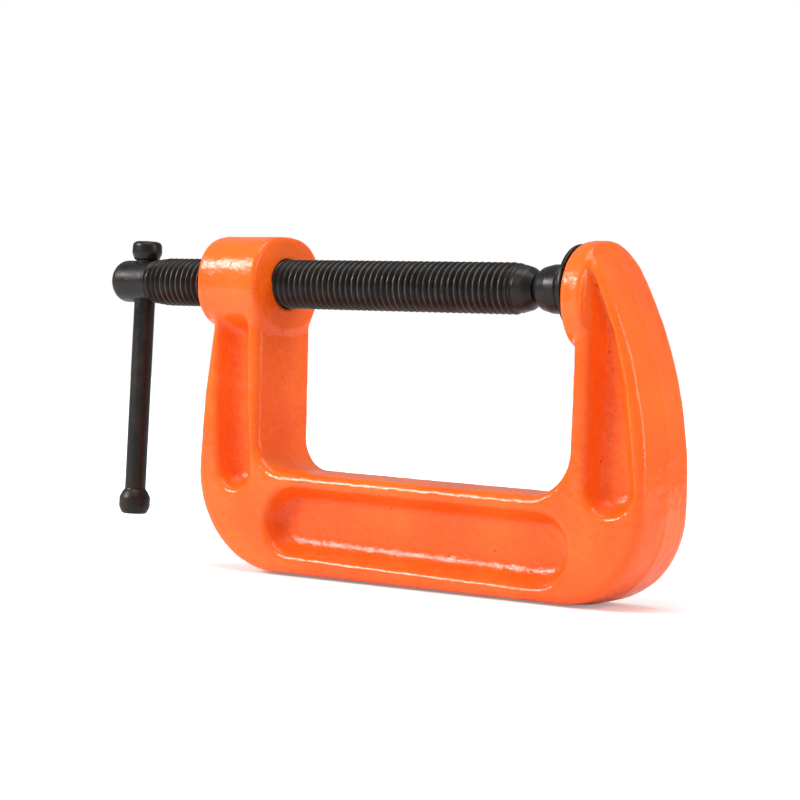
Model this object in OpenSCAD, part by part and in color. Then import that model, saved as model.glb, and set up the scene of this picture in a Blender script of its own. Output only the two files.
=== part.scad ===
// C clamp: a cast frame, a rolled screw with a swivel pad on its ball, and a sliding handle bar.
// The origin is the centre of the anvil's face. X runs along the screw, away from the handle,
// Y is the frame's thickness and Z points from the spine to the screw.

/* [Frame casting] */
// Distance between the two jaw faces of the frame, from the screw boss to the anvil
jaw_gap = 115.3; // [115:0.1:120]
// Depth from the screw's axis to the spine's inner edge, at the screw boss
throat_depth = 59.3; // [55:0.1:66]
// How much deeper the throat is at the anvil than at the screw boss
throat_run = 1.0; // [0:0.1:3]
// Depth from the screw's axis to the flat bottom of the spine
frame_drop = 92.8; // [90:0.1:98]
// Thickness of the arms and the spine
frame_t = 28; // [24:0.5:30]
// Height of the screw boss above the screw's axis
boss_h = 15.3; // [14:0.1:17]
// Half of the anvil's height
anvil_h = 16.7; // [14:0.1:17.5]
// How far the anvil's middle lies below the screw's axis
anvil_sink = 2.4; // [0:0.1:3]
// Half of the width of the boss and the anvil, which stand proud of the arms
boss_w = 17.2; // [16:0.1:18]
// Length of the screw boss
boss_l = 24.4; // [22:0.1:30]
// Length of the anvil's round end
anvil_l = 7; // [6:0.1:12]
// Radius of the corner between the handle arm and the bottom
handle_corner_r = 33; // [28:0.5:35]
// Radius of the corner between the anvil arm and the bottom
anvil_corner_r = 27.5; // [26:0.5:32]
// Radius of the long curve on the anvil arm's outer side
anvil_arm_r = 126; // [120:1:150]
// Radius of the throat's inner corner at the handle arm
throat_corner_r = 10; // [6:0.5:14]
// Radius of the throat's inner corner at the anvil arm
anvil_throat_r = 13; // [6:0.5:16]
// Depth of the pockets in each side
pocket_depth = 7.5; // [4:0.5:9]

/* [Screw] */
// Outer diameter of the thread, 5/8 inch
thread_d = 15.875; // [15:0.005:17]
// Advance of the thread for each turn, 11 turns an inch
thread_pitch = 2.309; // [2:0.001:2.6]
// Depth of the thread's grooves
thread_depth = 1.25; // [1:0.05:1.4]
// Diameter of the plain head that the bar passes through
head_d = 14.1; // [13.6:0.1:15]
// Distance from the anvil's face to the end of the head
screw_end = 188.4; // [185:0.1:195]
// Distance from the anvil's face to the middle of the handle bar
bar_place = 177.5; // [176:0.5:180]
// Distance from the anvil's face to the end of the thread next to the head
thread_from = 171.5; // [169:0.5:173]
// Distance from the anvil's face to the end of the thread next to the pad
thread_to = 26; // [24.5:0.5:28]
// Clearance between the thread and its bore, on the radius
thread_play = 0.06; // [0.02:0.01:0.1]

/* [Swivel pad] */
// Gap between the pad's face and the anvil in the stored position
stored_gap = 2.1; // [1.8:0.1:3]
// Height of the pad, from its face to its mouth
pad_h = 15; // [14.8:0.1:17]
// Diameter of the pad's face
pad_d = 27; // [25:0.5:28]
// Thickness of the pad's rim
pad_rim_t = 1.5; // [1.3:0.1:2.5]
// Diameter of the pad's hub
hub_d = 14.8; // [14.2:0.1:15.5]
// Diameter of the ball
ball_d = 11.2; // [10.8:0.1:11.4]
// Diameter of the neck behind the ball
neck_d = 7.2; // [6.4:0.1:7.4]

/* [Handle bar] */
// Diameter of the bar
bar_d = 7; // [6.5:0.1:7.5]
// Diameter of the upper end, which is upset over the head
bar_cap_d = 10.1; // [9:0.1:10.5]
// Height of the upper end
bar_cap_h = 6.6; // [6:0.1:8]
// Diameter of the lower end, which is formed as a flattened ball
bar_ball_d = 10.5; // [9:0.1:11]
// Distance from the screw's axis to the lower end's outer tip
bar_drop = 78.7; // [70:0.1:90]
// How far the bar leans towards the frame's front side
bar_lean = 1.2; // [0:0.1:5]

/* [Hidden] */
$fn = 96;
cast_orange = [0.95, 0.32, 0.10];
blackened = [0.09, 0.09, 0.09];
play = 0.08;
thread_r = thread_d / 2;
root_r = thread_r - thread_depth;
bore_r = thread_r + thread_play;
ball_x = -stored_gap - 9.3;
mouth_x = -stored_gap - pad_h;
nose_x = mouth_x - 0.9;
socket_depth = 6;
boss_x = -jaw_gap - boss_l;
handle_arm_x = boss_x;
handle_corner_x = handle_arm_x + handle_corner_r;
anvil_corner_x = 1.8;
outer_x = anvil_corner_x + anvil_corner_r;
anvil_arm_x = 2.2;

// Points of an arc about a centre, from one angle to another
function arc(x, z, r, from, to, steps = 12) =
    [for (i = [0:steps]) let (a = from + (to - from) * i / steps) [x + r * cos(a), z + r * sin(a)]];

// Outline of the casting, seen from the front side
function frame_outline() = concat(
    [[-jaw_gap, 0], [handle_arm_x + 3.9, -8], [handle_arm_x + 3.9, -15], [handle_arm_x + 1.2, -36]],
    arc(handle_corner_x, -frame_drop + handle_corner_r, handle_corner_r, 176, 270, 18),
    arc(anvil_corner_x, -frame_drop + anvil_corner_r, anvil_corner_r, 270, 360, 18),
    arc(outer_x - anvil_arm_r, -59, anvil_arm_r, 0, 35.9, 20),
    [[2, 14.6], [2, -12], [anvil_arm_x, -17]],
    arc(anvil_arm_x - anvil_throat_r, -throat_depth - throat_run + anvil_throat_r,
        anvil_throat_r, 0, -90, 8),
    arc(-jaw_gap + 1.1 + throat_corner_r, -throat_depth + throat_corner_r,
        throat_corner_r, 270, 180, 8));

// A slab that lies in the X-Z plane, from y = from_y to y = to_y
module slab(from_y, to_y) {
    translate([0, to_y, 0]) rotate([90, 0, 0])
        linear_extrude(height = to_y - from_y) children();
}

// Turns a shape of revolution so that its axis lies along X
module along_x() {
    rotate([0, 90, 0]) children();
}

// Rounded end of the casting round the screw's axis, squarer than an ellipse where square is over 2
module round_end(height, length, square) {
    linear_extrude(height = length)
        polygon([for (a = [0:6:354])
            [-height * sign(cos(a)) * pow(abs(cos(a)), 2 / square),
             boss_w * sign(sin(a)) * pow(abs(sin(a)), 2 / square)]]);
}

// Pocket in the handle arm, which narrows towards the bottom
module handle_arm_pocket() {
    polygon(concat(
        [[boss_x + 6.8, -9], [boss_x + 7, -36]],
        arc(boss_x + 16, -60, 6.8, 190, 350, 12),
        [[-jaw_gap - 4, -36], [-jaw_gap - 5, -9]]));
}

// Long slot with round ends in the spine
module spine_pocket() {
    polygon(concat(
        arc(-jaw_gap + 16, -75.2, 11, 90, 270, 16),
        arc(-7, -76.8, 11.2, 270, 450, 16)));
}

// Pocket in the anvil arm, which starts as a point behind the anvil
module anvil_arm_pocket() {
    polygon(concat(
        [[7.4, 6.5], [8.2, -12], [8.8, -35]],
        arc(17.2, -57, 8.6, 190, 350, 12),
        [[23.4, -42], [21.4, -28], [16.9, -12], [9.6, 4]]));
}

// What is taken off the anvil arm's top, so that it follows the round anvil
module arm_top_trim() {
    difference() {
        translate([-1, -boss_w - 1, 0]) cube([outer_x, 2 * boss_w + 2, anvil_h + 2]);
        translate([-2, 0, -anvil_sink]) along_x() round_end(anvil_h, outer_x + 2, 2.1);
    }
}

// One casting: screw boss, two arms, spine and anvil
module frame() {
    color(cast_orange) difference() {
        union() {
            difference() {
                slab(-frame_t / 2, frame_t / 2) polygon(frame_outline());
                for (side = [-1, 1])
                    slab(side > 0 ? frame_t / 2 - pocket_depth : -frame_t / 2 - 1,
                         side > 0 ? frame_t / 2 + 1 : -frame_t / 2 + pocket_depth) {
                        handle_arm_pocket();
                        spine_pocket();
                        anvil_arm_pocket();
                    }
                arm_top_trim();
            }
            translate([boss_x, 0, 0]) along_x() round_end(boss_h, boss_l, 2.4);
            translate([0, 0, -anvil_sink]) along_x() round_end(anvil_h, anvil_l, 2.1);
        }
        translate([boss_x - 1, 0, 0]) along_x() cylinder(r = bore_r, h = boss_l + 2);
    }
}

// Half section of the screw, as radius and place along the axis, with one groove for each turn
function screw_section() = concat(
    [[0, -screw_end], [4, -screw_end], [6.2, -screw_end + 1.2], [head_d / 2, -screw_end + 4]],
    [[head_d / 2, -thread_from]],
    [for (x = [-thread_from + 1 : thread_pitch : -thread_to - thread_pitch], corner = [0:3])
        [corner == 0 || corner == 3 ? root_r : thread_r,
         x + [0.1, 0.4, 0.6, 0.9][corner] * thread_pitch]],
    [[thread_r - 0.2, -thread_to], [thread_r - 0.7, -thread_to + 3]],
    [[thread_r - 1.8, nose_x - 1.4], [4.8, nose_x], [0, nose_x]]);

// The screw: plain head with its cross hole, thread, and a rounded nose that holds the tip
module screw() {
    color(blackened) difference() {
        along_x() rotate_extrude() polygon(screw_section());
        translate([-bar_place, 0, 0]) rotate([-bar_lean, 0, 0])
            cylinder(d = bar_d + 2 * play, h = head_d * 2, center = true);
        translate([nose_x - socket_depth, 0, 0]) along_x()
            cylinder(d = neck_d + play, h = socket_depth + 1);
    }
}

// The screw's ball and neck, which carry the pad
module screw_tip() {
    color(blackened) union() {
        translate([ball_x, 0, 0]) sphere(d = ball_d);
        translate([nose_x - socket_depth + play, 0, 0]) along_x()
            cylinder(d = neck_d, h = ball_x - nose_x + socket_depth - play);
    }
}

// Outside of the swivel pad, as radius and place along the axis
function pad_section() = [
    [0, mouth_x], [5.1, mouth_x], [6.2, mouth_x + 1.2], [hub_d / 2 - 0.3, mouth_x + 3.6],
    [hub_d / 2, mouth_x + 5.4], [hub_d / 2, mouth_x + 8.8], [hub_d / 2 - 0.5, mouth_x + 9.4],
    [hub_d / 2, mouth_x + 10], [9.2, -stored_gap - pad_rim_t - 1], [pad_d / 2 - 0.6, -stored_gap - pad_rim_t],
    [pad_d / 2, -stored_gap - pad_rim_t + 0.6], [pad_d / 2, -stored_gap - 0.4],
    [pad_d / 2 - 0.4, -stored_gap], [0, -stored_gap]];

// The swivel pad, crimped round the ball
module swivel_pad() {
    color(blackened) difference() {
        along_x() rotate_extrude() polygon(pad_section());
        translate([ball_x, 0, 0]) sphere(d = ball_d + 2 * play);
        translate([mouth_x - 1, 0, 0]) along_x() cylinder(r = 4.6, h = ball_x - mouth_x + 1);
    }
}

// Half section of the bar, as radius and place along it, with both formed ends
function bar_section() = let (r = bar_d / 2, cap = bar_cap_d / 2, low = head_d / 2 + play) concat(
    [[0, low + bar_cap_h], [cap - 1.4, low + bar_cap_h], [cap - 0.4, low + bar_cap_h - 0.7]],
    [[cap, low + bar_cap_h - 2], [cap, low + 1.4], [cap - 0.6, low + 0.3], [cap - 1.2, low], [r, low]],
    [[r, -bar_drop + 8.2], [bar_ball_d / 2 - 0.9, -bar_drop + 7.4], [bar_ball_d / 2, -bar_drop + 5]],
    [[bar_ball_d / 2, -bar_drop + 3.4], [bar_ball_d / 2 - 0.8, -bar_drop + 1], [r, -bar_drop], [0, -bar_drop]]);

// The handle bar, which slides through the screw's head
module handle_bar() {
    color(blackened) translate([-bar_place, 0, 0]) rotate([-bar_lean, 0, 0])
        rotate_extrude() polygon(bar_section());
}

frame();
screw();
screw_tip();
swivel_pad();
handle_bar();
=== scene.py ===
# A cast C clamp: an enamelled frame, a rolled screw, a swivel pad on its ball and a sliding handle bar.
import math

import bpy
import numpy as np
from mathutils import Matrix, Vector, noise


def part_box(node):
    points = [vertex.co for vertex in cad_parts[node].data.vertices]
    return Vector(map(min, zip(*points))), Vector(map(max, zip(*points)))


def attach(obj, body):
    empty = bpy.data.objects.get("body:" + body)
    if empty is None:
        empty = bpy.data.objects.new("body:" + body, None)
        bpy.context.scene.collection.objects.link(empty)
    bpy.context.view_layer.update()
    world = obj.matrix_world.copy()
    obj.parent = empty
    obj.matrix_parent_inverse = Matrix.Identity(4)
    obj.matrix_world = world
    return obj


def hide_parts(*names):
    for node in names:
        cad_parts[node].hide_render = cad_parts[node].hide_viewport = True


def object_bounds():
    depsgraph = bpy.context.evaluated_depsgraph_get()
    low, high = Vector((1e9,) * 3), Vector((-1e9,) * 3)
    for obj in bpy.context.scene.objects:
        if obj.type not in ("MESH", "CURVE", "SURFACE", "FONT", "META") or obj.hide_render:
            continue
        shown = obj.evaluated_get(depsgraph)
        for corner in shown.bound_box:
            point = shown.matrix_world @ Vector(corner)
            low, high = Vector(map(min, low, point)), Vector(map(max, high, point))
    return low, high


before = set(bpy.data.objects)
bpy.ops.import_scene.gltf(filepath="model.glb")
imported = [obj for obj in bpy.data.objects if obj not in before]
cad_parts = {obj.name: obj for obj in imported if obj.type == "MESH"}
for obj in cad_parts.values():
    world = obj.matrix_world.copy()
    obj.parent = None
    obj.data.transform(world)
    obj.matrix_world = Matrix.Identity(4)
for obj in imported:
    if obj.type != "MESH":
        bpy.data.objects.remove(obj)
cad_low, cad_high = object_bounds()

MM = 0.001

# ---- Bench and studio -------------------------------------------------------------------------
# A pale bench top under the clamp's flat spine, which runs out to white, three soft boxes, a weak
# white fill, and the camera. The camera looks at the clamp's front side from the anvil's end, a
# little above the bench.

bench_z = cad_low.z
bench_mesh = bpy.data.meshes.new("bench")
bench_reach = 3
bench_corners = [(x * bench_reach, y * bench_reach, bench_z) for x, y in ((-1, -1), (1, -1), (1, 1), (-1, 1))]
bench_mesh.from_pydata(bench_corners, [], [(0, 1, 2, 3)])
bench = bpy.data.objects.new("bench", bench_mesh)
bpy.context.scene.collection.objects.link(bench)
bench_paint = bpy.data.materials.new("bench_paint")
bench_paint.use_nodes = True
bench_shader = bench_paint.node_tree.nodes["Principled BSDF"]
bench_shader.inputs["Base Color"].default_value = (0.93, 0.93, 0.93, 1)
bench_shader.inputs["Roughness"].default_value = 0.7
bench_shader.inputs["Emission Color"].default_value = (1, 1, 1, 1)
bench_nodes = bench_paint.node_tree
bench_place = bench_nodes.nodes.new("ShaderNodeTexCoord").outputs["Object"]
away = bench_nodes.nodes.new("ShaderNodeVectorMath")
away.operation = "LENGTH"
bench_nodes.links.new(bench_place, away.inputs[0])
sweep = bench_nodes.nodes.new("ShaderNodeMapRange")
for socket, value in (("From Min", 0.2), ("From Max", 0.7), ("To Min", 0.25), ("To Max", 1.0)):
    sweep.inputs[socket].default_value = value
bench_nodes.links.new(away.outputs["Value"], sweep.inputs["Value"])
# Only the camera sees the bench's glow, so it doesn't light the clamp.
glow = bench_nodes.nodes.new("ShaderNodeMath")
glow.operation = "MULTIPLY"
bench_nodes.links.new(sweep.outputs[0], glow.inputs[0])
bench_nodes.links.new(bench_nodes.nodes.new("ShaderNodeLightPath").outputs["Is Camera Ray"], glow.inputs[1])
bench_nodes.links.new(glow.outputs[0], bench_shader.inputs["Emission Strength"])
bench_mesh.materials.append(bench_paint)


def soft_box(name, place, aim, size, watts):
    """A rectangular soft box at a place, turned to its aim. Sizes in metres."""
    lamp = bpy.data.lights.new(name, "AREA")
    lamp.shape = "RECTANGLE"
    lamp.size, lamp.size_y = size
    lamp.energy = watts
    box = bpy.data.objects.new(name, lamp)
    box.location = place
    box.rotation_mode = "QUATERNION"
    box.rotation_quaternion = (Vector(aim) - Vector(place)).to_track_quat("-Z", "Y")
    bpy.context.scene.collection.objects.link(box)


middle = (cad_low + cad_high) / 2
soft_box("key_box", (-0.75, -0.76, 0.50), middle, (0.45, 0.28), 10.5)
soft_box("side_box", (0.95, 0.25, 0.30), middle, (0.35, 0.7), 4.5)
soft_box("top_box", (0.1, -0.1, 1.1), middle, (0.9, 0.9), 9)

world = bpy.data.worlds.new("studio")
bpy.context.scene.world = world
world.use_nodes = True
fill = world.node_tree.nodes["Background"]
fill.inputs["Color"].default_value = (1, 1, 1, 1)
seen = world.node_tree.nodes.new("ShaderNodeLightPath").outputs["Is Camera Ray"]
strength = world.node_tree.nodes.new("ShaderNodeMapRange")
fill_on_clamp, fill_seen = 0.36, 1.0
strength.inputs["To Min"].default_value = fill_on_clamp
strength.inputs["To Max"].default_value = fill_seen
world.node_tree.links.new(seen, strength.inputs["Value"])
world.node_tree.links.new(strength.outputs[0], fill.inputs["Strength"])
bpy.context.scene.view_settings.view_transform = "Standard"

camera_azimuth = math.radians(36.63)
camera_height_angle = math.radians(1.18)
camera_roll = math.radians(2.22)
camera_distance = 0.7348
camera_target = Vector((-0.06172, -0.00885, -0.03521))

camera_data = bpy.data.cameras.new("camera")
camera_data.sensor_width = 36
camera_data.lens = 107.6
camera_data.clip_start = 0.05
camera_data.clip_end = 20
camera = bpy.data.objects.new("camera", camera_data)
bpy.context.scene.collection.objects.link(camera)
bpy.context.scene.camera = camera
camera_back = Vector((math.sin(camera_azimuth) * math.cos(camera_height_angle),
                      -math.cos(camera_azimuth) * math.cos(camera_height_angle),
                      math.sin(camera_height_angle)))
camera_level = Vector((math.cos(camera_azimuth), math.sin(camera_azimuth), 0))
camera_up = camera_back.cross(camera_level)
camera_right = camera_level * math.cos(camera_roll) + camera_up * math.sin(camera_roll)
camera_up = camera_back.cross(camera_right)
camera.matrix_world = Matrix.Translation(camera_target + camera_back * camera_distance) @ Matrix(
    (camera_right, camera_up, camera_back)).transposed().to_4x4()

# ---- Frame ------------------------------------------------------------------------------------
# One ductile iron casting: screw boss, two arms, spine and a round anvil, with a pocket in each side of
# every limb. It is cast in two halves, so its walls lean to a parting line along the middle, and it is
# dipped in thick orange enamel, which rounds every edge and keeps the waves of the sand underneath.

frame_low, frame_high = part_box("frame")
boss_x = frame_low.x / MM
bottom_z = frame_low.z / MM
boss_w = frame_high.y / MM
boss_h = frame_high.z / MM
outer_x = frame_high.x / MM
boss_l = 24.4
jaw_gap = -boss_x - boss_l
limb_t = 28
edge_round = 3.0
draft = 0.045
parting_line = 0.12
pocket_depth = 7.2
pocket_slope = 0.45
pocket_fillet = 3.2
bore_r = 8.0
anvil_h = 16.7
anvil_l = 7.0
anvil_sink = 2.4
anvil_inner_x = 2.2
handle_corner_r = 33
anvil_corner_r = 28.3
anvil_arm_r = 126
anvil_arm_turn_z = -59
throat_z = -59.3
throat_run = 1.0
handle_throat_r = 10
anvil_throat_r = 13
cell = 0.8


def arc(x, z, radius, start, end, steps):
    """Points of an arc about a centre, from one angle to another in degrees."""
    angles = np.radians(np.linspace(start, end, steps + 1))
    return [(x + radius * math.cos(a), z + radius * math.sin(a)) for a in angles]


outline = (
    [(-jaw_gap, 0), (boss_x + 3.7, -8), (boss_x + 3.7, -15), (boss_x + 0.9, -36)]
    + arc(boss_x + handle_corner_r - 0.3, bottom_z + handle_corner_r + 0.2, handle_corner_r, 176, 270, 24)
    + arc(outer_x - anvil_corner_r, bottom_z + anvil_corner_r, anvil_corner_r, 270, 360, 24)
    + arc(outer_x - anvil_arm_r, anvil_arm_turn_z, anvil_arm_r, 0, 35.9, 24)
    + [(2, 14.9), (2, -12), (anvil_inner_x, -17)]
    + arc(anvil_inner_x - anvil_throat_r, throat_z - throat_run + anvil_throat_r, anvil_throat_r, 0, -90, 10)
    + arc(1.1 + handle_throat_r - jaw_gap, throat_z + handle_throat_r, handle_throat_r, 270, 180, 10))
handle_arm_pocket = (
    [(boss_x + 6.8, -9), (boss_x + 7, -36)]
    + arc(boss_x + 16, -60, 6.8, 190, 350, 12)
    + [(-jaw_gap - 4, -36), (-jaw_gap - 5, -9)])
spine_pocket = arc(-jaw_gap + 16, -75.2, 11, 90, 270, 16) + arc(-7, -76.8, 11.2, 270, 450, 16)
anvil_arm_pocket = (
    [(7.4, 6.5), (8.2, -12), (8.8, -35)]
    + arc(17.2, -57, 8.6, 190, 350, 12)
    + [(23.4, -42), (21.4, -28), (16.9, -12), (9.6, 4)])


def distance_to_outline(points, x, z):
    """Distance from each place (x, z) to a closed outline, negative inside it."""
    nearest = np.full(np.broadcast(x, z).shape, 1e9)
    inside = np.zeros(nearest.shape, bool)
    for (ax, az), (bx, bz) in zip(points, points[1:] + points[:1]):
        dx, dz = bx - ax, bz - az
        along = np.clip(((x - ax) * dx + (z - az) * dz) / (dx * dx + dz * dz + 1e-12), 0, 1)
        nearest = np.minimum(nearest, (x - ax - along * dx) ** 2 + (z - az - along * dz) ** 2)
        if az != bz:
            crosses = (az > z) != (bz > z)
            inside ^= crosses & (x < ax + (z - az) * dx / dz)
    return np.sqrt(nearest) * np.where(inside, -1, 1)


def blend_max(a, b, width):
    """The larger of two distances, with the corner between them rounded over a width."""
    h = np.maximum(width - np.abs(a - b), 0) / width
    return np.maximum(a, b) + h * h * width / 4


def blend_min(a, b, width):
    return -blend_max(-a, -b, width)


def rounded_end(across, along, radius):
    """A prism's distance from its section's distance and its end's, with the edge rounded."""
    u, v = across + radius, along + radius
    return np.hypot(np.maximum(u, 0), np.maximum(v, 0)) + np.minimum(np.maximum(u, v), 0) - radius


def round_section(y, z, height, square):
    """Distance to a section round the screw's axis, squarer than an ellipse where square is over 2."""
    return (((np.abs(y) / boss_w) ** square + (np.abs(z) / height) ** square) ** (1 / square) - 1) * height


def round_end(x, section, start, end, radius):
    return rounded_end(section, np.abs(x - (start + end) / 2) - (end - start) / 2, radius)


def casting(x, y, z):
    """Distance from each place to the casting's skin in millimetres, negative in the iron."""
    side = np.abs(y)
    body = rounded_end(distance_to_outline(outline, x, z) + draft * side, side - limb_t / 2, edge_round)
    body = body - parting_line * np.exp(-(y / 0.7) ** 2) * np.clip((z - bottom_z - 2) / 4, 0, 1)
    inward = limb_t / 2 - side
    for pocket in (handle_arm_pocket, spine_pocket, anvil_arm_pocket):
        wall = distance_to_outline(pocket, x, z) + pocket_slope * inward
        cut = blend_max(wall, inward - pocket_depth, pocket_fillet)
        body = blend_max(body, -cut, 1.6)
    anvil_section = round_section(y, z + anvil_sink, anvil_h, 2.1)
    body = blend_max(body, np.where((x > -6) & (z > -2), anvil_section, -9), 2.2)
    boss = round_end(x, round_section(y, z, boss_h, 2.4), boss_x, -jaw_gap, 1.4)
    anvil = round_end(x, anvil_section, 0, anvil_l, 1.0)
    body = blend_min(body, boss, 2.6)
    body = blend_min(body, anvil, 1.6)
    bore = np.maximum(np.hypot(y, z) - bore_r, x + jaw_gap / 2)
    return blend_max(body, -bore, 0.8)


def skin_of(distance, low, high, step):
    """Quads on the zero surface of a distance function, one point for each grid cell that it crosses."""
    axes = [np.arange(a - 2 * step, b + 3 * step, step) for a, b in zip(low, high)]
    grid = distance(*np.meshgrid(*axes, indexing="ij", sparse=True))
    solid = grid < 0
    cells = tuple(n - 1 for n in grid.shape)
    total, count = np.zeros(cells + (3,)), np.zeros(cells)
    corners = [(i, j, k) for i in (0, 1) for j in (0, 1) for k in (0, 1)]

    def at(array, corner):
        return array[tuple(slice(c, c + n) for c, n in zip(corner, cells))]

    for first in corners:
        for axis in range(3):
            if first[axis]:
                continue
            second = tuple(c + (i == axis) for i, c in enumerate(first))
            crossed = at(solid, first) != at(solid, second)
            a, b = at(grid, first), at(grid, second)
            share = np.where(crossed, a / np.where(crossed, a - b, 1), 0)
            for i in range(3):
                total[..., i] += np.where(crossed, first[i] + (share if i == axis else 0), 0)
            count += crossed
    used = count > 0
    index = np.full(cells, -1)
    index[used] = np.arange(used.sum())
    start = np.array([a[0] for a in axes])
    points = (np.argwhere(used) + total[used] / count[used][:, None]) * step + start
    quads = []
    for axis in range(3):
        others = [i for i in range(3) if i != axis]
        shift = np.eye(3, dtype=int)
        ahead = tuple(slice(1, None) if i == axis else slice(None) for i in range(3))
        behind = tuple(slice(None, -1) if i == axis else slice(None) for i in range(3))
        leaving = np.argwhere(solid[behind] & ~solid[ahead])
        entering = np.argwhere(~solid[behind] & solid[ahead])
        b, c = shift[others[0]], shift[others[1]]
        if axis == 1:
            b, c = c, b
        for edges, ring in ((leaving, (b + c, c, 0 * b, b)), (entering, (b + c, b, 0 * b, c))):
            quads.append(np.stack([index[tuple((edges - r).T)] for r in ring], 1))
    return points, np.concatenate(quads)


def slope_of(distance, p, reach=0.05):
    """The direction in which a distance grows fastest at each point, as unit vectors."""
    grown = [distance(*(p + reach * d).T) - distance(*(p - reach * d).T) for d in np.eye(3)]
    slope = np.stack(grown, 1)
    return slope / np.linalg.norm(slope, axis=1, keepdims=True)


points, quads = skin_of(casting, (boss_x, -boss_w, bottom_z), (outer_x, boss_w, boss_h), cell)
for _ in range(3):
    points -= slope_of(casting, points) * np.clip(casting(*points.T), -0.4, 0.4)[:, None]

# The sand's waves show through the enamel, but not on the machined bore.
outward = slope_of(casting, points)
in_bore = (np.hypot(points[:, 1], points[:, 2]) < bore_r + 0.6) & (points[:, 0] < -jaw_gap / 2)
waves = np.array([noise.noise(Vector(p) * 0.16) * 0.10 + noise.noise(Vector(p) * 0.5) * 0.05 for p in points])
points += outward * np.where(in_bore, 0, waves - 0.14)[:, None]

frame_mesh = bpy.data.meshes.new("cast_frame")
frame_mesh.from_pydata((points * MM).tolist(), [], quads.tolist())
frame_mesh.shade_smooth()
in_pocket = np.minimum.reduce([distance_to_outline(pocket, points[:, 0], points[:, 2])
                               for pocket in (handle_arm_pocket, spine_pocket, anvil_arm_pocket)])
recess = np.clip(-in_pocket / 2, 0, 1) * np.clip((limb_t / 2 - 2 - np.abs(points[:, 1])) / 3, 0, 1)
frame_mesh.attributes.new("recess", "FLOAT", "POINT").data.foreach_set("value", recess)
cast_frame = bpy.data.objects.new("cast_frame", frame_mesh)
bpy.context.scene.collection.objects.link(cast_frame)


class Finish:
    """A material's node tree, with short calls for the nodes that the finishes share."""

    def __init__(self, name):
        self.material = bpy.data.materials.new(name)
        self.material.use_nodes = True
        self.tree = self.material.node_tree
        self.shader = self.tree.nodes["Principled BSDF"]
        self.place = self.add("ShaderNodeTexCoord").outputs["Object"]

    def add(self, kind, values=None, **settings):
        node = self.tree.nodes.new(kind)
        for name, value in settings.items():
            setattr(node, name, value)
        for socket, value in (values or {}).items():
            self.put(node.inputs[socket], value)
        return node

    def put(self, socket, value):
        if isinstance(value, bpy.types.NodeSocket):
            self.tree.links.new(value, socket)
        else:
            socket.default_value = value

    def sums(self, operation, *values, clamp=False):
        node = self.add("ShaderNodeMath", dict(enumerate(values)), operation=operation, use_clamp=clamp)
        return node.outputs[0]

    def grain(self, per_metre, detail=3.0, roughness=0.5, place=None):
        values = {"Vector": place or self.place, "Scale": per_metre, "Detail": detail, "Roughness": roughness}
        return self.add("ShaderNodeTexNoise", values).outputs[0]

    def ramp(self, value, low, high, to_low=0.0, to_high=1.0):
        values = {0: value, 1: low, 2: high, 3: to_low, 4: to_high}
        return self.add("ShaderNodeMapRange", values, interpolation_type="SMOOTHSTEP").outputs[0]

    def mix(self, share, a, b):
        node = self.add("ShaderNodeMix", {0: share, 6: a, 7: b}, data_type="RGBA")
        return node.outputs[2]

    def bump(self, height, depth, strength=1.0, normal=None):
        values = {"Strength": strength, "Distance": depth, "Height": height}
        if normal:
            values["Normal"] = normal
        return self.add("ShaderNodeBump", values).outputs[0]


enamel = Finish("orange_enamel")
shade = enamel.ramp(enamel.grain(28, 2), 0.35, 0.65)
colour = enamel.mix(shade, (0.90, 0.112, 0.007, 1), (0.97, 0.152, 0.013, 1))
grime = enamel.ramp(enamel.grain(95, 5, 0.65), 0.56, 0.74)
colour = enamel.mix(enamel.sums("MULTIPLY", grime, 0.2), colour, (0.66, 0.060, 0.005, 1))
pits = enamel.ramp(enamel.grain(640, 2, 0.4), 0.74, 0.80)
colour = enamel.mix(enamel.sums("MULTIPLY", pits, 0.6), colour, (0.26, 0.035, 0.006, 1))
enamel.put(enamel.shader.inputs["Base Color"], colour)
enamel.put(enamel.shader.inputs["Roughness"], enamel.ramp(enamel.grain(160, 3), 0.3, 0.7, 0.18, 0.29))
recess = enamel.add("ShaderNodeAttribute", attribute_name="recess").outputs["Fac"]
grit = enamel.sums("MULTIPLY", enamel.grain(330, 4, 0.6), recess)
rough_sand = enamel.bump(grit, 0.0007, 0.6)
peel = enamel.bump(enamel.grain(420, 2, 0.4), 0.00042, 0.6, rough_sand)
enamel.put(enamel.shader.inputs["Normal"], enamel.bump(pits, -0.00015, 0.8, peel))
enamel.shader.inputs["Specular IOR Level"].default_value = 0.34
enamel.shader.inputs["Coat Weight"].default_value = 0.06
enamel.shader.inputs["Coat Roughness"].default_value = 0.06
frame_mesh.materials.append(enamel.material)

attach(cast_frame, "casting")
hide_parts("frame")

# ---- Screw ------------------------------------------------------------------------------------
# One steel bar: a plain head that the handle passes through, a rolled 5/8-11 right-hand thread and a
# rounded nose. It is blackened all over and oiled, and its crests are rubbed bright by the boss.

screw_low, screw_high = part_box("screw")
screw_end = screw_low.x / MM
nose_x = screw_high.x / MM
thread_r = screw_high.z / MM
head_r = 7.05
thread_pitch = 2.309
thread_depth = 1.25
thread_from = -173.8
thread_full = -170
thread_to = -26
bar_x = -177.5
bar_r = 3.5
bar_lean = math.radians(1.2)


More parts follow.
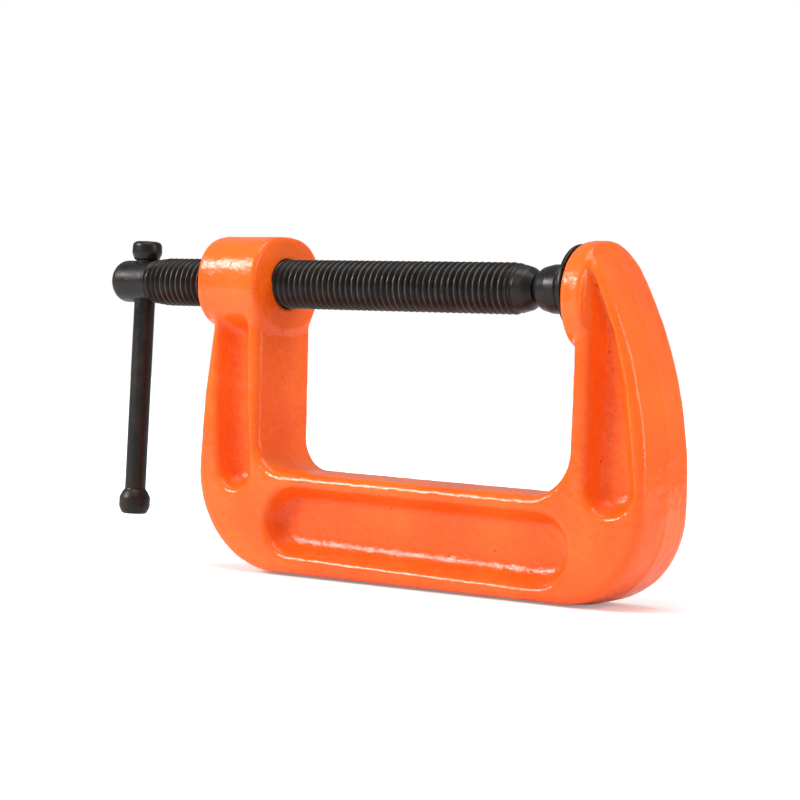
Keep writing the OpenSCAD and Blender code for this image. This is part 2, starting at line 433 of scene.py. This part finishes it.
def rounded(corners, steps=8):
    """A line through corners (a, b, radius), with an arc of that radius at each."""
    line = []
    for i, (a, b, radius) in enumerate(corners):
        here = Vector((a, b))
        if not radius or i in (0, len(corners) - 1):
            line.append(here)
            continue
        back = (Vector(corners[i - 1][:2]) - here).normalized()
        ahead = (Vector(corners[i + 1][:2]) - here).normalized()
        half = back.angle(ahead) / 2
        centre = here + (back + ahead).normalized() * radius / math.sin(half)
        start = here + back * radius / math.tan(half) - centre
        sweep = start.angle_signed(here + ahead * radius / math.tan(half) - centre)
        for step in range(steps + 1):
            turn = -sweep * step / steps
            line.append(centre + Matrix.Rotation(turn, 2) @ start)
    return line


class Lathe:
    """The geometry tree that turns a half section about X and cuts a right-hand thread on it."""

    def __init__(self):
        self.tree = bpy.data.node_groups.new("lathe", "GeometryNodeTree")
        self.tree.interface.new_socket("Geometry", in_out="OUTPUT", socket_type="NodeSocketGeometry")
        self.tree.interface.new_socket("Half section", in_out="INPUT", socket_type="NodeSocketGeometry")
        self.keys = {}
        for name in ("Row step", "Pitch", "Thread depth", "Thread from", "Thread full", "Thread to"):
            self.keys[name] = self.tree.interface.new_socket(
                name, in_out="INPUT", socket_type="NodeSocketFloat").identifier
        self.keys["Sides"] = self.tree.interface.new_socket(
            "Sides", in_out="INPUT", socket_type="NodeSocketInt").identifier
        self.keys["Material"] = self.tree.interface.new_socket(
            "Material", in_out="INPUT", socket_type="NodeSocketMaterial").identifier
        self.given = self.add("NodeGroupInput").outputs
        self.build()

    def add(self, kind, values=None, **settings):
        node = self.tree.nodes.new(kind)
        for name, value in settings.items():
            setattr(node, name, value)
        for socket, value in (values or {}).items():
            if isinstance(value, bpy.types.NodeSocket):
                self.tree.links.new(value, node.inputs[socket])
            else:
                node.inputs[socket].default_value = value
        return node

    def sums(self, operation, *values, clamp=False):
        node = self.add("ShaderNodeMath", dict(enumerate(values)), operation=operation, use_clamp=clamp)
        return node.outputs[0]

    def build(self):
        given, sums = self.given, self.sums
        length = self.add("GeometryNodeCurveLength", {0: given["Half section"]}).outputs[0]
        reach = sums("ADD", length, sums("MULTIPLY", given["Pitch"], 2))
        rows = sums("ADD", sums("CEIL", sums("DIVIDE", reach, given["Row step"])), 1)
        span = sums("MULTIPLY", sums("SUBTRACT", rows, 1), given["Row step"])
        columns = sums("ADD", given["Sides"], 1)
        sheet = self.add("GeometryNodeMeshGrid", {"Size X": span, "Size Y": 1.0,
                                                  "Vertices X": rows, "Vertices Y": columns})
        place = self.add("ShaderNodeSeparateXYZ", {0: self.add("GeometryNodeInputPosition").outputs[0]})
        turn = sums("ADD", place.outputs["Y"], 0.5)
        # Every row climbs one pitch in a turn, so the thread's edges lie along the rows.
        row_start = sums("SUBTRACT", sums("ADD", place.outputs["X"], sums("DIVIDE", span, 2)), given["Pitch"])
        along = sums("ADD", row_start, sums("MULTIPLY", turn, given["Pitch"]))
        sample = self.add("GeometryNodeSampleCurve", {"Curves": given["Half section"], "Length": along},
                          mode="LENGTH")
        point = self.add("ShaderNodeSeparateXYZ", {0: sample.outputs["Position"]})
        x, radius = point.outputs["X"], point.outputs["Y"]
        phase = sums("FRACT", sums("DIVIDE", row_start, given["Pitch"]))
        flank = sums("ABSOLUTE", sums("SUBTRACT", sums("MULTIPLY", phase, 2), 1))
        row_share = sums("DIVIDE", given["Row step"], given["Pitch"])
        groove = self.add("ShaderNodeMapRange", {0: flank, 1: row_share, 2: sums("SUBTRACT", 1, row_share)})
        run_in = self.add("ShaderNodeMapRange", {0: x, 1: given["Thread from"], 2: given["Thread full"]},
                          interpolation_type="SMOOTHSTEP")
        run_out = self.add("ShaderNodeMapRange",
                           {0: sums("SUBTRACT", given["Thread to"], x), 1: 0.0, 2: given["Pitch"]})
        share = sums("MULTIPLY", run_in.outputs[0], run_out.outputs[0])
        depth = sums("MULTIPLY", given["Thread depth"], share)
        radius = sums("SUBTRACT", radius, sums("MULTIPLY", groove.outputs[0], depth))
        angle = sums("MULTIPLY", turn, -math.tau)
        ring = self.add("ShaderNodeCombineXYZ", {"X": x, "Y": sums("MULTIPLY", radius, sums("COSINE", angle)),
                                                 "Z": sums("MULTIPLY", radius, sums("SINE", angle))})
        turned = self.add("GeometryNodeSetPosition",
                          {"Geometry": sheet.outputs[0], "Position": ring.outputs[0]})
        closed = self.add("GeometryNodeMergeByDistance", {"Geometry": turned.outputs[0], "Distance": 1e-6})
        smooth = self.add("GeometryNodeSetShadeSmooth", {"Geometry": closed.outputs[0]})
        real = self.add("GeometryNodeRealizeInstances", {"Geometry": smooth.outputs[0]})
        done = self.add("GeometryNodeSetMaterial",
                        {"Geometry": real.outputs[0], "Material": given["Material"]})
        self.tree.links.new(done.outputs[0], self.add("NodeGroupOutput").inputs[0])

    def turn(self, name, corners, material, row_step, sides, place=Matrix(), **thread):
        """A mesh object turned from a half section of (place, radius, corner radius) in millimetres."""
        curve = bpy.data.curves.new(name + "_section", "CURVE")
        curve.dimensions = "3D"
        line = rounded(corners)
        spline = curve.splines.new("POLY")
        spline.points.add(len(line) - 1)
        for point, (a, b) in zip(spline.points, line):
            point.co = (a * MM, max(b, 0) * MM, 0, 1)
        blank = bpy.data.objects.new(name + "_section", curve)
        bpy.context.scene.collection.objects.link(blank)
        modifier = blank.modifiers.new("lathe", "NODES")
        modifier.node_group = self.tree
        sizes = {"Row step": row_step * MM, "Pitch": row_step * MM, "Thread depth": 0.0, "Thread from": -1.0,
                 "Thread full": -0.9, "Thread to": 1.0, "Sides": sides, "Material": material}
        sizes.update({key.replace("_", " ").capitalize(): value * MM for key, value in thread.items()})
        for key, value in sizes.items():
            modifier[self.keys[key]] = value
        evaluated = blank.evaluated_get(bpy.context.evaluated_depsgraph_get())
        mesh = bpy.data.meshes.new_from_object(evaluated)
        bpy.data.objects.remove(blank)
        mesh.name = name
        mesh.transform(place)
        piece = bpy.data.objects.new(name, mesh)
        bpy.context.scene.collection.objects.link(piece)
        return piece


def blackened_steel(name, wear_radius=None, rust=0.35):
    """Oiled black oxide with brown tints and light specks, rubbed bright beyond a radius about X."""
    finish = Finish(name)
    place = finish.add("ShaderNodeSeparateXYZ", {0: finish.place})
    tint = finish.ramp(finish.grain(90, 4, 0.6), 0.45, 0.72)
    oxide, brown = (0.012, 0.0105, 0.0095, 1), (0.050, 0.027, 0.018, 1)
    colour = finish.mix(finish.sums("MULTIPLY", tint, rust), oxide, brown)
    rough = finish.ramp(finish.grain(240, 3), 0.3, 0.7, 0.29, 0.47)
    if wear_radius:
        radius = finish.sums("SQRT", finish.sums("ADD", finish.sums("POWER", place.outputs["Y"], 2.0),
                                                 finish.sums("POWER", place.outputs["Z"], 2.0)))
        crest = finish.ramp(radius, wear_radius - 0.00022, wear_radius)
        patchy = finish.ramp(finish.grain(130, 3, 0.6), 0.30, 0.62)
        crest = finish.sums("MULTIPLY", crest, patchy)
        colour = finish.mix(finish.sums("MULTIPLY", crest, 0.75), colour, (0.14, 0.122, 0.105, 1))
    specks = finish.ramp(finish.grain(900, 2, 0.5), 0.74, 0.79)
    colour = finish.mix(finish.sums("MULTIPLY", specks, 0.5), colour, (0.35, 0.27, 0.20, 1))
    finish.put(finish.shader.inputs["Base Color"], colour)
    finish.put(finish.shader.inputs["Roughness"], rough)
    finish.shader.inputs["Metallic"].default_value = 0.45
    scale = finish.bump(finish.grain(700, 3, 0.6), 0.00006, 0.6)
    finish.put(finish.shader.inputs["Normal"], scale)
    return finish.material


lathe = Lathe()
screw_steel = blackened_steel("screw_steel", wear_radius=thread_r * MM)
screw_section = [
    (screw_end, 0, 0), (screw_end, head_r, 3.4), (thread_from, head_r, 4), (thread_full + 4, thread_r, 4),
    (thread_to, thread_r, 4), (nose_x - 2.4, thread_r - 1.4, 2.6), (nose_x, 4.5, 0.5), (nose_x, 0, 0)]
screw = lathe.turn("threaded_screw", screw_section, screw_steel, thread_pitch / 12, 64, pitch=thread_pitch,
                   thread_depth=thread_depth, thread_from=thread_from, thread_full=thread_full,
                   thread_to=thread_to + 3)

upright = Matrix.Rotation(-math.pi / 2, 4, "Y")
lean = Matrix.Translation((bar_x * MM, 0, 0)) @ Matrix.Rotation(-bar_lean, 4, "X") @ upright
hole_r = bar_r + 0.1
hole_rim = head_r - 0.5
drill_end = 9
flare_r = hole_r + 2.2
drill_section = [(-drill_end, 0, 0), (-drill_end, flare_r, 0), (-hole_rim, hole_r, 0),
                 (hole_rim, hole_r, 0), (drill_end, flare_r, 0), (drill_end, 0, 0)]
drill = lathe.turn("cross_hole", drill_section, screw_steel, 1.5, 64, lean)
bored = screw.modifiers.new("bored", "BOOLEAN")
bored.operation = "DIFFERENCE"
bored.solver = "EXACT"
bored.object = drill
bored_mesh = bpy.data.meshes.new_from_object(screw.evaluated_get(bpy.context.evaluated_depsgraph_get()))
screw.modifiers.clear()
screw.data = bored_mesh
bored_mesh.name = "threaded_screw"
bpy.data.objects.remove(drill)
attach(screw, "spindle")
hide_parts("screw")

# ---- Ball and neck ----------------------------------------------------------------------------
# The turned end of the same steel bar: a neck behind a ball, which the pad is crimped round.
# It is round about the screw's axis, so it looks the same however the screw is turned.

ball_x = -11.4
ball_r = 5.6
neck_r = 3.6
tip_steel = blackened_steel("tip_steel")
neck_meets_ball = ball_x - math.sqrt(ball_r ** 2 - neck_r ** 2)
tip_section = [(nose_x - 3, 0, 0), (nose_x - 3, neck_r, 0), (neck_meets_ball, neck_r, 0)]
tip_section += [(ball_x - ball_r * math.cos(a), ball_r * math.sin(a), 0) for a in
                np.linspace(math.asin(neck_r / ball_r), math.pi, 24)]
ball = lathe.turn("screw_ball", tip_section, tip_steel, 0.3, 64)
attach(ball, "tip")
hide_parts("screw_tip")

# ---- Swivel pad -------------------------------------------------------------------------------
# A turned steel disc with a hub whose lip is crimped over the screw's ball, so it tilts and turns
# freely. It is blackened with the screw, and a fine turned line runs round the hub.

pad_low, pad_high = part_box("swivel_pad")
mouth_x = pad_low.x / MM
face_x = pad_high.x / MM
pad_r = pad_high.z / MM
rim_x = face_x - 1.5
pad_steel = blackened_steel("pad_steel", rust=0.25)
socket_r = ball_r + 0.08
lip_r = 4.6
pad_section = [(ball_x + socket_r * math.cos(a), socket_r * math.sin(a), 0) for a in
               np.linspace(0, math.pi - math.asin(lip_r / socket_r), 24)]
pad_section += [
    (mouth_x + 0.3, lip_r, 0.2), (mouth_x, lip_r + 0.3, 0.1), (mouth_x, 5.1, 0.2), (mouth_x + 1.8, 6.6, 2.6),
    (mouth_x + 5.2, 7.4, 3), (mouth_x + 8.6, 7.4, 0.2), (mouth_x + 9.0, 6.95, 0.2), (mouth_x + 9.4, 7.4, 0.3),
    (rim_x - 1.6, 8.0, 1.2), (rim_x - 0.1, pad_r - 1, 0.8), (rim_x + 0.3, pad_r, 0.3), (face_x, pad_r, 0.3),
    (face_x, 0, 0)]
pad = lathe.turn("swivel_disc", pad_section, pad_steel, 0.25, 96)
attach(pad, "pad")
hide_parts("swivel_pad")

# ---- Handle bar -------------------------------------------------------------------------------
# A plain steel rod that slides through the head and hangs on its upper end. Both ends are struck cold:
# the upper one into a rounded cap, the lower one into a flattened ball.

bar_drop = 78.7
cap_base = head_r + 0.08
cap_top = cap_base + 6.6
cap_r = 5.05
end_r = 5.2
bar_steel = blackened_steel("bar_steel", rust=0.5)
bar_section = [
    (-bar_drop, 0, 0), (-bar_drop, 4.1, 1.3), (-bar_drop + 2.4, end_r, 1.8), (-bar_drop + 5.6, end_r, 2.4),
    (-bar_drop + 7.6, 4.2, 1), (-bar_drop + 8.4, bar_r, 0.3), (cap_base, bar_r, 0.1),
    (cap_base, cap_r - 1.0, 0.8), (cap_base + 2.4, cap_r, 2), (cap_top - 0.3, cap_r - 0.15, 1.7),
    (cap_top, 0, 0)]
bar = lathe.turn("handle_rod", bar_section, bar_steel, 0.4, 48, lean)
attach(bar, "bar")
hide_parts("handle_bar")
